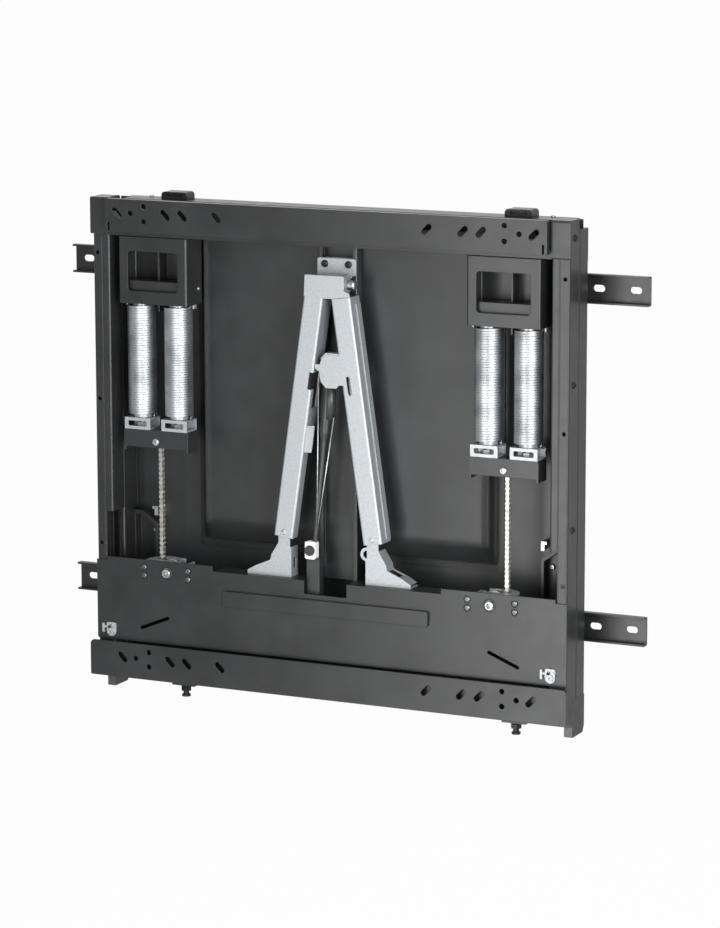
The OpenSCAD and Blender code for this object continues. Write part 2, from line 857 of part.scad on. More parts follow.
module guide_roller(side, z) {
    disc = upright_w / 2 - sheet - roller_plate / 2 - 2;
    color(nylon) translate([side * upright_x, roller_y, z]) rotate([0, 90, 0]) {
        cylinder(r = axle_r, h = roller_plate + 4, center = true);
        for (m = [0, 1]) mirror([0, 0, m]) translate([0, 0, roller_plate / 2 + 0.4])
            rotate_extrude() polygon([[0, 0], [6, 0], [6, 0.8], [roller_r - 1, 0.8],
                [roller_r, 1.8], [roller_r, disc - 1], [roller_r - 1, disc],
                [roller_r - 3, disc], [roller_r - 4, disc - 1.2], [5, disc - 1.2],
                [5, disc], [0, disc]]);
    }
}

module left_upper_roller() {
    guide_roller(-1, roller_zs[0]);
}

module left_lower_roller() {
    guide_roller(-1, roller_zs[1]);
}

module right_upper_roller() {
    guide_roller(1, roller_zs[0]);
}

module right_lower_roller() {
    guide_roller(1, roller_zs[1]);
}

// Yokes: each hangs below a pair of springs and pulls on one chain

module right_yoke() {
    low = yoke_top - yoke_h;
    skirt = 4.5;
    color(black) difference() {
        union() {
            along_y(yoke_front, yoke_front + yoke_d) translate([pair_x - yoke_w / 2, low])
                round_rect([yoke_w, yoke_h], 3);
            for (x = [pair_x - yoke_w / 2, pair_x + yoke_w / 2 - 3])
                block([x, yoke_front, low - skirt], [x + 3, yoke_front + yoke_d, low + 4]);
        }
        block([pair_x - 4.5, chain_y - 5, low - 1],
            [pair_x + 4.5, chain_y + 5, yoke_bolt_z + 5]);
        translate([pair_x, 0, yoke_bolt_z]) rod_y(3.1, yoke_front - 1, chain_y);
    }
}

module left_yoke() {
    mirror([1, 0, 0]) right_yoke();
}

module spring_clips() {
    color(zinc) for (x = spring_xs) translate([x, spring_y, 0]) {
        difference() {
            block([-19, -16, yoke_top], [19, 13, clip_top]);
            block([-20, -14, yoke_top + 2], [20, 11, clip_top - 2]);
            along_y(-17, -13) translate([-14, yoke_top + clip_h / 2 - 3.5])
                round_rect([28, 7], 2);
        }
        translate([0, 0, clip_top - eps]) cylinder(r = plug_r, h = 18);
        translate([0, 0, yoke_top + 2 - eps]) cylinder(r = 4, h = clip_h - 3);
        translate([0, 0, yoke_top + 2 - eps]) cylinder(r = 8, h = 6, $fn = 6);
    }
}

module yoke_bolts() {
    color(nylon) both() translate([pair_x, 0, yoke_bolt_z]) {
        button_screw(yoke_front, 5.2, 3, 3, chain_y - 5 - yoke_front);
        rod_y(pin_r, chain_y - 6, chain_y + 5);
    }
}

// Lift chains

pin_r = 1.15;

module right_chain() {
    inner = [1.6, 2.35];
    outer = [2.45, 3.2];
    color(chain_metal) translate([pair_x, chain_y, yoke_bolt_z]) difference() {
        for (i = [0:links - 1]) translate([0, 0, -i * chain_pitch]) {
            side = i % 2 == 0 ? inner : outer;
            for (m = [0, 1]) mirror([0, m, 0]) along_y(side[0], side[1]) link_plate();
            link_pins(i % 2 == 0);
        }
        rod_y(pin_r + 0.1, -5, 5);
    }
}

module link_plate() {
    circle(d = link_h, $fn = 24);
    translate([0, -chain_pitch]) circle(d = link_h, $fn = 24);
    translate([-link_h * 0.34, -chain_pitch]) square([link_h * 0.68, chain_pitch]);
}

// An inner link has two bushes, an outer link two pins
module link_pins(bushes) {
    r = bushes ? 1.65 : pin_r;
    reach = bushes ? 1.61 : 3.8;
    for (z = [0, -chain_pitch]) translate([0, 0, z]) rotate([90, 0, 0])
        cylinder(r = r, h = 2 * reach, center = true, $fn = 20);
}

module left_chain() {
    mirror([1, 0, 0]) right_chain();
}

// Chain drums, turned from the front by a hexagon key, and the brackets that bear them

drum_plate = 2.5;
shelf_r = 24.5;
shelf_x = drum_x + 9.5;
drum_rear = fixed_front - 1.5;

module right_drum_bracket() {
    top = -panel_top - 0.5;
    color(zinc) difference() {
        union() {
            along_y(moving_front, moving_front + drum_plate)
                translate([pair_x - 54.5, drum_z - 16])
                    round_rect([80.5, top - drum_z + 16], 4);
            along_z(top - 2, top) {
                translate([shelf_x - shelf_r, moving_front]) square([2 * shelf_r, 12]);
                intersection() {
                    translate([shelf_x, moving_front + 11]) circle(shelf_r, $fn = 96);
                    translate([shelf_x - shelf_r, moving_front]) square(2 * shelf_r);
                }
            }
            along_y(drum_rear - drum_plate, drum_rear) {
                translate([drum_x, drum_z]) circle(13);
                translate([drum_x - 13, drum_z]) square([26, top - drum_z]);
            }
            block([drum_x - 25.5, moving_front, drum_z - 10],
                [drum_x - 23.5, drum_rear, top - 3]);
        }
        block([drum_x - 14, chain_y - 7.5, top - 3], [pair_x + 5, chain_y + 7.5, top + 1]);
        translate([drum_x, 0, drum_z])
            rod_y(journal_r + run_gap, moving_front - 1, drum_rear + 1);
        for (x = screw_xs) for (z = screw_zs)
            translate([x, 0, z]) rod_y(1.7, moving_front - 1, moving_front + drum_plate + 1);
    }
}

module left_drum_bracket() {
    mirror([1, 0, 0]) right_drum_bracket();
}

module right_chain_drum() {
    half = 4.3;
    flange = 2.2;
    rim = half + flange;
    head = 4;
    color(steel) translate([drum_x, chain_y, drum_z]) rotate([-90, 0, 0]) difference() {
        rotate_extrude($fn = 72) polygon([
            [0, panel_front - chain_y - head], [journal_r - 0.8, panel_front - chain_y - head],
            [journal_r, panel_front - chain_y - head + 0.8],
            [journal_r, moving_front + drum_plate + seat_gap - chain_y],
            [9, moving_front + drum_plate + seat_gap - chain_y], [9, -rim],
            [flange_r - 0.5, -rim], [flange_r, -rim + 0.5], [flange_r, -half - 0.2],
            [drum_r, -half], [drum_r, half], [flange_r, half + 0.2], [flange_r, rim - 0.5],
            [flange_r - 0.5, rim], [journal_r, rim], [journal_r, drum_rear - chain_y + seat_gap],
            [8, drum_rear - chain_y + seat_gap], [8, drum_rear - chain_y + seat_gap + 1.2],
            [0, drum_rear - chain_y + seat_gap + 1.2]]);
        translate([0, 0, panel_front - chain_y - head - 1]) cylinder(r = 3.6, h = 6, $fn = 6);
    }
}

module left_chain_drum() {
    mirror([1, 0, 0]) right_chain_drum();
}

// Strut frame: two folded legs that meet at the apex and stand on the lower panel's shelf

leg_top = [19.1, 200.5];
leg_len = 326;
foot_z = -panel_top - panel_drop;
pin_at = [strut_y + 14, 214.5];
ankle = [63.9, -116];

module leg_channel(skip) {
    translate([leg_top.x, strut_y, leg_top.y]) rotate([0, -splay, 0])
        translate([0, 0, -leg_len]) linear_extrude(leg_len - skip)
            channel2d(leg_w, leg_d, leg_t, leg_t + 0.8);
}

module ankle_hole() {
    translate([ankle.x, 0, ankle.y]) rod_y(2.6, strut_y - 1, strut_y + 3 * leg_t);
}

module apex_box() {
    along_y(strut_y, strut_y + leg_t)
        polygon([[-31.5, 227], [apex_wall + 0.6, 227], [apex_wall + 0.6, 208], [32, 205],
            [32.8, 200.7], [7, 197.1], [-7, 197.1], [-32.8, 199]]);
    for (x = [-28.5, apex_wall]) translate([x, 0, 0]) along_x(leg_t)
        polygon([[strut_y + 0.5, 203], [strut_y + 0.5, 226.5], [strut_y + 12, 226.5],
            [strut_y + 24, 220], [strut_y + 24, 208], [strut_y + 16, 203]]);
}

apex_wall = 23.3;

module left_leg() {
    color(zinc) difference() {
        union() {
            mirror([1, 0, 0]) leg_channel(0);
            apex_box();
        }
        translate([0, pin_at.x, pin_at.y]) rod_x(5.05, -40, 40);
        mirror([1, 0, 0]) ankle_hole();
        mirror([1, 0, 0]) leg_notch();
        mirror([1, 0, 0]) translate([leg_top.x, strut_y, leg_top.y]) rotate([0, -splay, 0])
            block([-leg_w / 2 - 1, -1, -124], [6 - leg_w / 2, 20, -101]);
    }
}

// Opening in the inner flange of a leg beside the latch plate, and its shallow lower part
module leg_notch() {
    translate([leg_top.x, strut_y, leg_top.y]) rotate([0, -splay, 0]) {
        block([-leg_w / 2 - 1, 8, -150], [-leg_w / 2 + leg_t + 1, 21, -102]);
        block([-leg_w / 2 - 1, 15, -leg_len - 1], [-leg_w / 2 + leg_t + 1, leg_d + 1, -208]);
    }
}

module right_leg() {
    color(zinc) difference() {
        union() {
            leg_channel(2.2);
            block([8, strut_y + leg_t, 178], [apex_wall - 1.4, strut_y + 2 * leg_t, 224]);
            along_y(strut_y, strut_y + leg_t)
                polygon([[19, 124], [-1, 124], [-8, 117], [-10.5, 110.5], [-17.6, 110.5],
                    [-17.6, 105], [-11, 101], [-9, 88], [-2, 80], [13, 80], [17, 84.5],
                    [26, 84.5], [26, 112]]);
            along_y(strut_y + 0.6, strut_y + 12) polygon([[-1, 123.2], [-7.4, 116.8],
                [-9.4, 118.4], [-2.4, 125.8], [17, 125.8], [17, 123.2]]);
        }
        ankle_hole();
        leg_notch();
        along_y(strut_y - 1, strut_y + leg_t + 1)
            translate([31.4, 84.5]) rotate(99) slot2d(25, 5.4);
    }
}

lug = [56, -136];

module right_foot() {
    foot(lug.y - 9, true);
}

module foot(flange_top, has_lug) {
    plate_y = strut_y + leg_t;
    edge = [[118.5, 5], [106.5, 12], [93, 17.5], [85, 21], [83, 29], [76, 40], [72.5, 46]];
    color(zinc) difference() {
        union() {
            along_y(plate_y, plate_y + leg_t)
                polygon(concat([[56, foot_z], [118.5, foot_z]], foot_edge(edge, 0),
                    [[72.5, -108], [56, -108]]));
            along_y(plate_y + eps, plate_y + 21)
                polygon(concat(foot_edge(edge, 0),
                    foot_edge([for (i = [len(edge) - 1:-1:0]) edge[i]], leg_t)));
            block([54, plate_y, foot_z], [118.5, plate_y + 22, foot_z + leg_t]);
            block([54, plate_y, foot_z], [54 + leg_t, plate_y + 20, flange_top]);
            if (has_lug) along_y(plate_y, plate_y + leg_t) translate(lug) intersection() {
                difference() {
                    circle(9.3);
                    circle(5.4);
                }
                translate([-10, -10]) square([10.5, 20]);
            }
        }
        ankle_hole();
        block([84.5, plate_y + 3, foot_z + 13], [105, plate_y + 18, foot_z + 32]);
        from_x(50, 60) translate([plate_y + 11, foot_z + 18]) rotate(90) slot2d(16, 7);
        for (x = foot_bolt_xs)
            translate([x, foot_bolt_y, foot_z - 1]) cylinder(r = 2.6, h = leg_t + 2);
    }
}

// Stepped outer edge of a foot, moved inward by d
function foot_edge(edge, d) = [for (p = edge) [p.x - d, foot_z + p.y - d / 2]];

module left_foot() {
    mirror([1, 0, 0]) foot(lug.y, false);
}

module ankle_bolts() {
    color(steel) both() {
        translate([ankle.x, 0, ankle.y]) button_screw(strut_y, 3.6, 1, 2.5, 2 * leg_t + 3);
        for (x = foot_bolt_xs) translate([x, foot_bolt_y, foot_z - sheet - 4]) {
            cylinder(r = 2.5, h = 4 + sheet + leg_t);
            translate([0, 0, 4 + sheet + leg_t]) cylinder(r = 4.6, h = 3, $fn = 6);
            translate([0, 0, 1]) cylinder(r = 4.6, h = 3, $fn = 6);
        }
    }
}

module apex_pin() {
    color(steel) translate([0, pin_at.x, pin_at.y]) {
        rod_x(5, -32, 26);
        translate([-29.8, 0, 0]) rotate([0, -90, 0]) rotate_extrude()
            polygon([[0, 0], [7.5, 0], [7.5, 1.6], [6, 2.8], [0, 3.2]]);
        translate([apex_wall + leg_t / 2 + 0.2, 0, 0]) rotate([0, 90, 0]) rotate_extrude()
            polygon([[0, 0], [6.5, 0], [6.5, 9], [5.2, 10.6], [0, 11]]);
    }
}

lug_x = 18.5;

module slider_bracket() {
    plate = chan_front - seat_gap;
    color(zinc) difference() {
        union() {
            along_y(plate - 2.5, plate) translate([-27.5, 224]) round_rect([55, 22], 2.5);
            block([-lug_x - 1, pin_at.x - 8, 224], [lug_x + 1, plate - 1, 226.5]);
            both() translate([lug_x, 0, 0]) along_x(3) {
                translate(pin_at) circle(8.5);
                translate([pin_at.x - 8.5, pin_at.y]) square([17, 224.5 - pin_at.y + 0.5]);
                polygon([[pin_at.x, 206], [pin_at.x + 6, 209], [plate - 2, 220], [plate - 2, 225],
                    [pin_at.x, 225]]);
            }
        }
        translate([0, pin_at.x, pin_at.y]) rod_x(5.05, -40, 40);
        for (s = [-1, 1]) translate([s * 17, 0, 238.5]) rod_y(2.6, plate - 4, plate + 1);
    }
}

// Nylon shoe that runs behind the lips of the centre channel
module apex_slider() {
    half = chan_w / 2 - sheet - seat_gap;
    mouth = half - 4;
    color(nylon) difference() {
        union() {
            along_y(chan_front + sheet + seat_gap, raised_face - sheet - seat_gap)
                translate([-half, slider_low]) round_rect([2 * half, slider_h], 3);
            block([-mouth, chan_front - seat_gap, slider_low + 5],
                [mouth, chan_front + 4, slider_low + slider_h - 4]);
        }
        for (s = [-1, 1]) translate([s * 17, 0, 238.5])
            rod_y(2.1, chan_front - 2, chan_front + 12);
    }
}

module slider_screws() {
    color(dark) for (s = [-1, 1]) translate([s * 17, 0, 238.5])
        button_screw(chan_front - seat_gap - 2.5, 5, 3, 2, 12);
}

// Parts between the legs
rod_y_at = strut_y + leg_t + 7.3;

module strut_rod() {
    top = [2, 118];
    low = [-21.5, block_top + 0.3];
    lean = atan2(top.x - low.x, top.y - low.y);
    len = norm(top - low);
    color(dark) translate([low.x, rod_y_at, low.y]) rotate([0, lean, 0]) intersection() {
        union() {
            cylinder(r = 4, h = len - 100);
            translate([0, 0, len - 110]) cylinder(r1 = 4, r2 = 7, h = 12, $fn = 48);
            translate([0, 0, len - 98]) cylinder(r = 7, h = 98);
        }
        block([-20, -20, 0.6], [20, 20, len]);
    }
}

block_top = -126;
block_low = -149;
nub_at = [-25.5, -137.5];

module nylon_block() {
    color(nylon) difference() {
        along_y(rod_y_at - 9, rod_y_at + 2)
            translate([-33, block_low]) round_rect([15, block_top - block_low], 2.5);
        translate([nub_at.x, 0, nub_at.y]) rod_y(4.1, rod_y_at - 10, rod_y_at + 3);
    }
}

module guide_post() {
    color(dark) {
        block([-31.5, rod_y_at - 7, -214], [-13, rod_y_at + 6, block_low]);
        block([-31.5, moving_front, -214], [-13, rod_y_at - 6, -198]);
        translate([nub_at.x, 0, nub_at.y]) {
            rod_y(4, rod_y_at - 9, rod_y_at + 2);
            rod_y(7, rod_y_at - 11.5, rod_y_at - 9);
        }
    }
}

top_wall_rail();
bottom_wall_rail();
back_pan();
raised_panel();
centre_channel();
left_fixed_upright();
right_fixed_upright();
top_tie();
bottom_tie();
left_spring_hanger();
right_spring_hanger();
spring_top_plugs();
top_hooks();
levelling_feet();
levelling_screws();
bay_brackets();
frame_bolts();
spring_1();
spring_2();
spring_3();
spring_4();
left_moving_upright();
right_moving_upright();
top_beam();
bottom_beam();
corner_plates();
lower_panel();
cover_strip();
end_blocks();
roller_brackets();
left_yoke();
right_yoke();
spring_clips();
yoke_bolts();
left_chain();
right_chain();
left_drum_bracket();
right_drum_bracket();
left_leg();
right_leg();
left_foot();
right_foot();
ankle_bolts();
apex_pin();
apex_slider();
slider_bracket();
slider_screws();
strut_rod();
guide_post();
nylon_block();
catch_plates();
panel_screws();
side_bolts();
left_chain_drum();
right_chain_drum();
left_upper_roller();
left_lower_roller();
right_upper_roller();
right_lower_roller();
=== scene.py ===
"""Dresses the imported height-adjustable display mount: finishes for its sheet steel, plated
parts and mouldings, fully wound springs, small trim, soft studio light and the camera."""

import math

import bmesh
import bpy
from bpy.props import FloatProperty, IntProperty, PointerProperty, StringProperty
from mathutils import Matrix, Vector


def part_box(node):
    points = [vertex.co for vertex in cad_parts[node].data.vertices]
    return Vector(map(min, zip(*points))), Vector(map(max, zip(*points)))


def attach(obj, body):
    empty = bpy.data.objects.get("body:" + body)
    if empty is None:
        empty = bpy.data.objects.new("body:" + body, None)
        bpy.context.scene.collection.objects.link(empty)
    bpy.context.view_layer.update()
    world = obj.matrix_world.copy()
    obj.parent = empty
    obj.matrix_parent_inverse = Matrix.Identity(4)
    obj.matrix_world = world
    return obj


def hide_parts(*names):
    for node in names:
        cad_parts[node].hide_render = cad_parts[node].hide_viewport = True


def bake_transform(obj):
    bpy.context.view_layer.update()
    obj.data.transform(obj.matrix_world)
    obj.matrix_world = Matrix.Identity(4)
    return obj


bl_info = {
    "name": "Display mount dressing",
    "version": (1, 0, 0),
    "blender": (4, 5, 0),
    "location": "3D View > Sidebar > Mount",
    "description": "Finishes, springs, trim and studio for a height-adjustable display mount",
    "category": "Object",
}

MM = 0.001
MM_PER_METRE = 1000.0
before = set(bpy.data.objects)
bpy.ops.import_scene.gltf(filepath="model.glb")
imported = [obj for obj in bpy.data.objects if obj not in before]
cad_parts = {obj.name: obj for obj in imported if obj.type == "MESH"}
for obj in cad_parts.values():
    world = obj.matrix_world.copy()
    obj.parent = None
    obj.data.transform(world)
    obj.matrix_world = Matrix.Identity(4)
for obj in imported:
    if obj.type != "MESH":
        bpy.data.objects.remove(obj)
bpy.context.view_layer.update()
WALL, CARRIAGE = "wall_unit", "carriage"
LEFT, RIGHT = -1, 1         # signs of X, as the mount is seen from the front
BLACK, WHITE = "#000000", "#ffffff"


# ---------------------------------------------------------------- settings a user may change


class FinishSettings(bpy.types.PropertyGroup):
    """Colours of the coatings and the edge they leave"""

    powder_coat: StringProperty(
        name="Powder coat", description="Colour of the coated sheet steel, sRGB hex",
        default="#1b1c1d")
    dark_coat: StringProperty(
        name="Dark coat", description="Colour of the dip-coated inner parts, sRGB hex",
        default="#242527")
    zinc: StringProperty(
        name="Zinc", description="Colour of the bright zinc plating, sRGB hex",
        default="#969a9c")
    edge_radius: FloatProperty(
        name="Edge radius", description="Radius that the coating leaves on cut edges",
        default=1.1 * MM, unit="LENGTH", precision=5)


class SpringSettings(bpy.types.PropertyGroup):
    """Sizes of the four tension springs"""

    turns: IntProperty(
        name="Turns", description="Turns of each tension spring", default=44, min=22)
    wire: FloatProperty(
        name="Wire", description="Diameter of the spring wire",
        default=3.2 * MM, unit="LENGTH", precision=5)
    outer: FloatProperty(
        name="Outer diameter", description="Diameter over a spring",
        default=38 * MM, unit="LENGTH", precision=4)


class StudioSettings(bpy.types.PropertyGroup):
    """Place and lens of the camera, and height of the floor"""

    azimuth: FloatProperty(
        name="Azimuth", description="Turn of the camera round the mount",
        default=math.radians(25.26), subtype="ANGLE")
    elevation: FloatProperty(
        name="Elevation", description="Height of the camera above the horizon",
        default=math.radians(10.42), subtype="ANGLE")
    distance: FloatProperty(
        name="Distance", description="From the camera to the front of the mount",
        default=4.71685, unit="LENGTH")
    lens: FloatProperty(
        name="Lens", description="Focal length of the camera", default=141.75, unit="CAMERA")
    floor_drop: FloatProperty(
        name="Floor", description="How far the floor lies below the mount's middle",
        default=1.1, unit="LENGTH")


# ---------------------------------------------------------------- shader helpers


COLOUR_BAND = (0.35, 0.65)  # the part of a noise's range over which a colour drifts
VALUE_BAND = (0.3, 0.7)     # the part over which a number drifts
BEVEL_SAMPLES = 4
GRAIN_DETAIL = 2.0


def levels(hex_colour):
    """Red, green and blue of an sRGB hex colour, from 0 to 255."""
    return [int(hex_colour[i:i + 2], 16) for i in (1, 3, 5)]


def linear(hex_colour):
    """sRGB hex to the linear colour that a shader socket takes."""
    values = [level / 255 for level in levels(hex_colour)]
    return [v / 12.92 if v <= 0.04045 else ((v + 0.055) / 1.055) ** 2.4 for v in values] + [1.0]


def mixed(first, second, share):
    """The hex colour that lies this share of the way from the first to the second."""
    pairs = zip(levels(first), levels(second))
    return "#" + "".join(f"{round(p + (q - p) * share):02x}" for p, q in pairs)


def add_node(tree, kind, settings=None, links=None):
    """Adds a node; settings name its attributes or input sockets, links join its inputs."""
    node = tree.nodes.new(kind)
    for key, value in (settings or {}).items():
        if isinstance(key, str) and hasattr(node, key):
            setattr(node, key, value)
        else:
            node.inputs[key].default_value = value
    for key, socket in (links or {}).items():
        tree.links.new(socket, node.inputs[key])
    return node


def new_material(name):
    """An empty node material, with its tree and its output node."""
    material = bpy.data.materials.new(name)
    material.use_nodes = True
    tree = material.node_tree
    tree.nodes.clear()
    return material, tree, add_node(tree, "ShaderNodeOutputMaterial")


def noise(tree, place, size_mm, detail):
    """Noise with features of size_mm, over coordinates in metres."""
    return add_node(tree, "ShaderNodeTexNoise",
                    {"Scale": MM_PER_METRE / size_mm, "Detail": detail},
                    {"Vector": place}).outputs["Fac"]


def varied_colour(tree, place, low, high, size_mm, detail=3.0):
    """Colour that drifts between two hex values over patches of size_mm."""
    ramp = add_node(tree, "ShaderNodeValToRGB", None,
                    {"Fac": noise(tree, place, size_mm, detail)})
    for stop, position, colour in zip(ramp.color_ramp.elements, COLOUR_BAND, (low, high)):
        stop.position = position
        stop.color = linear(colour)
    return ramp.outputs["Color"]


def varied_value(tree, place, low, high, size_mm, detail=2.0):
    """Number that drifts between low and high over patches of size_mm."""
    start, end = VALUE_BAND
    return add_node(tree, "ShaderNodeMapRange",
                    {"From Min": start, "From Max": end, "To Min": low, "To Max": high},
                    {"Value": noise(tree, place, size_mm, detail)}).outputs["Result"]


def grain_bump(tree, place, size_mm, height_mm, radius=None, stretch=None):
    """Normal with a grain of size_mm, over edges rounded by radius."""
    if stretch is not None:
        place = add_node(tree, "ShaderNodeMapping", {"Scale": stretch},
                         {"Vector": place}).outputs["Vector"]
    links = {"Height": noise(tree, place, size_mm, GRAIN_DETAIL)}
    if radius:
        links["Normal"] = add_node(tree, "ShaderNodeBevel", {
            "samples": BEVEL_SAMPLES, "Radius": radius}).outputs["Normal"]
    return add_node(tree, "ShaderNodeBump",
                    {"Strength": 1.0, "Distance": height_mm * MM}, links).outputs["Normal"]


def surface(name, settings, colour, roughness, grain):
    """Material of one principled shader with these settings; colour, roughness and grain
    hold what varied_colour, varied_value and grain_bump take."""
    material, tree, output = new_material(name)
    place = add_node(tree, "ShaderNodeTexCoord").outputs["Object"]
    shader = add_node(tree, "ShaderNodeBsdfPrincipled", settings, {
        "Base Color": varied_colour(tree, place, **colour),
        "Roughness": varied_value(tree, place, **roughness),
        "Normal": grain_bump(tree, place, **grain)})
    tree.links.new(shader.outputs["BSDF"], output.inputs["Surface"])
    return material


# ---------------------------------------------------------------- materials


PRESSED_FOLD = 11           # soft folds of the deep-drawn panel, in radii of a cut edge
DIPPED_EDGE = 0.7           # edges under the thinner dip coat, in the same radii
PLATED_EDGE = 0.6           # edges under zinc, in the same radii
TURNED_EDGE = 0.3 * MM
CHAIN_EDGE = 0.25 * MM
MOULDED_EDGE = 0.5 * MM


def powder_coat(name, colour, radius):
    """Polyester powder coat, sprayed and baked on sheet steel: a satin charcoal skin with
    the faint orange peel of the baked powder and edges that the coating rounds off."""
    return surface(
        name, {"Metallic": 0.0, "IOR": 1.5, "Specular IOR Level": 0.45},
        dict(low=mixed(colour, BLACK, 0.06), high=mixed(colour, WHITE, 0.035), size_mm=70.0),
        dict(low=0.31, high=0.37, size_mm=22.0),
        # the real peel is about 0.5 mm across; drawn at 1.6 mm so that it shows
        dict(size_mm=1.6, height_mm=0.018, radius=radius))


def dip_coat(name, colour, radius):
    """Black dip coat, cured thin over steel: darker and a little glossier than the powder,
    with the rolled sheet just felt through it."""
    return surface(
        name, {"Metallic": 0.0, "IOR": 1.5, "Specular IOR Level": 0.5},
        dict(low=mixed(colour, BLACK, 0.12), high=mixed(colour, WHITE, 0.03), size_mm=30.0),
        dict(low=0.3, high=0.4, size_mm=12.0),
        dict(size_mm=2.4, height_mm=0.012, radius=radius))


def bright_zinc(name, colour, radius):
    """Electroplated zinc with a clear blue passivate: a soft, cool metal shine that clouds
    slightly from patch to patch, over the fine lines of rolled steel."""
    return surface(
        name, {"Metallic": 0.5},
        dict(low=mixed(colour, "#84929d", 0.2), high=mixed(colour, WHITE, 0.11), size_mm=2.6),
        dict(low=0.36, high=0.48, size_mm=4.0, detail=4.0),
        # rolling lines are hair-fine; drawn 0.9 mm apart and long along Z so that they show
        dict(size_mm=0.9, height_mm=0.006, radius=radius, stretch=(1.0, 1.0, 0.06)))


def plated_wire(name, colour):
    """Hard-drawn spring wire, zinc plated: bright, smooth and evenly silver."""
    return surface(
        name, {"Metallic": 1.0},
        dict(low=mixed(colour, "#7f8c96", 0.05), high=mixed(colour, WHITE, 0.25), size_mm=30.0),
        dict(low=0.43, high=0.47, size_mm=9.0),
        dict(size_mm=2.0, height_mm=0.003))


def turned_steel(name, colour, radius):
    """Turned and tumbled steel with thin zinc: greyer than the sheet parts, with the
    tumbling's fine dull speckle."""
    return surface(
        name, {"Metallic": 1.0},
        dict(low=mixed(colour, BLACK, 0.12), high=mixed(colour, WHITE, 0.12), size_mm=5.0),
        dict(low=0.28, high=0.44, size_mm=2.5),
        dict(size_mm=0.7, height_mm=0.008, radius=radius))


def black_oxide(name, colour):
    """Black oxide on alloy screws: a thin oily black that still glints like metal."""
    return surface(
        name, {"Metallic": 0.7},
        dict(low=colour, high=mixed(colour, WHITE, 0.08), size_mm=3.0),
        dict(low=0.3, high=0.45, size_mm=2.0),
        dict(size_mm=0.6, height_mm=0.006))


def nickel_chain(name, colour, radius):
    """Nickel-plated chain plates, stamped and oiled: warm silver with a film of oil that
    darkens it in patches."""
    return surface(
        name, {"Metallic": 1.0},
        dict(low=mixed(colour, "#6d6453", 0.2), high=mixed(colour, WHITE, 0.2), size_mm=4.0),
        dict(low=0.34, high=0.46, size_mm=3.0),
        dict(size_mm=0.7, height_mm=0.006, radius=radius))


def moulded_plastic(name, colour, roughness, subsurface):
    """Injection-moulded nylon or acetal: a waxy skin with the mould's very fine spark
    texture, and a little light let in at thin edges where it is undyed."""
    return surface(
        name, {"Metallic": 0.0, "IOR": 1.53, "Subsurface Weight": subsurface,
               "Subsurface Scale": 1.5 * MM, "Subsurface Radius": (1.0, 0.9, 0.8)},
        dict(low=mixed(colour, BLACK, 0.04), high=colour, size_mm=14.0),
        dict(low=roughness - 0.05, high=roughness + 0.06, size_mm=6.0),
        dict(size_mm=0.8, height_mm=0.01, radius=MOULDED_EDGE))


NODES_BY_FINISH = {
    "pressed_coat": "raised_panel",
    "powder_coat": (
        "top_wall_rail bottom_wall_rail back_pan left_fixed_upright "
        "right_fixed_upright top_tie bottom_tie left_spring_hanger right_spring_hanger "
        "left_yoke right_yoke bay_brackets left_moving_upright right_moving_upright top_beam "
        "bottom_beam corner_plates lower_panel cover_strip"),
    "dark_parts": (
        "centre_channel top_hooks levelling_feet strut_rod guide_post"),
    "zinc_plate": (
        "spring_clips left_drum_bracket right_drum_bracket left_leg right_leg left_foot "
        "right_foot slider_bracket catch_plates"),
    "steel_fasteners": (
        "spring_top_plugs frame_bolts roller_brackets ankle_bolts apex_pin "
        "yoke_bolts left_chain_drum right_chain_drum"),
    # the panel screws' darker steel is painted shade for their recess
    "shaded_screws": "panel_screws",
    "black_fasteners": "slider_screws side_bolts levelling_screws",
    "chain_steel": "left_chain right_chain",
    "nylon": "apex_slider nylon_block",
    "roller_plastic": (
        "left_upper_roller left_lower_roller right_upper_roller right_lower_roller"),
    "end_block_plastic": "end_blocks",
}
FINISHES = {}


def make_finishes():
    """Makes every material and keeps it in FINISHES under its finish name."""
    settings = bpy.context.scene.mount_finish
    radius = settings.edge_radius
    FINISHES.update({
        "powder_coat": powder_coat("black_powder_coat", settings.powder_coat, radius),
        "pressed_coat": powder_coat("black_powder_coat_pressed", settings.powder_coat,
                                    radius * PRESSED_FOLD),
        "dark_parts": dip_coat("black_dip_coat", settings.dark_coat, radius * DIPPED_EDGE),
        "zinc_plate": bright_zinc("bright_zinc_plate", settings.zinc, radius * PLATED_EDGE),
        "spring_wire": plated_wire("zinc_plated_spring_wire", "#888b8e"),
        "steel_fasteners": turned_steel("turned_zinc_steel", "#a8abad", TURNED_EDGE),
        # the lower panel's recessed screws get a darker copy of the bolts' steel: painted shade
        # for their recess, where the bolts that stand free stay bright
        "shaded_screws": turned_steel("zinc_steel_painted_shade", "#65686a", TURNED_EDGE),
        "black_fasteners": black_oxide("black_oxide_screws", "#1d1d1f"),
        "chain_steel": nickel_chain("nickel_chain_plate", "#a3a29b", CHAIN_EDGE),
        "nylon": moulded_plastic("natural_nylon", "#e6e4dc", roughness=0.45, subsurface=0.15),
        "roller_plastic": moulded_plastic("white_acetal", "#d5d5d0", roughness=0.4,
                                          subsurface=0.08),
        "glide_nylon": moulded_plastic("grey_glide_nylon", "#3c3d3f", roughness=0.4,
                                       subsurface=0.0),
        "end_block_plastic": moulded_plastic("black_moulded_nylon", "#1c1d1f", roughness=0.42,
                                             subsurface=0.0),
    })


# ---------------------------------------------------------------- mesh helpers


HEAD_SIDES = 24
# A domed head's two rings: where each starts and ends, as shares of the height, and how wide
# it is there, as shares of the radius
HEAD_RINGS = ((0.0, 0.45, 1.0, 0.92), (0.45, 1.0, 0.92, 0.6))


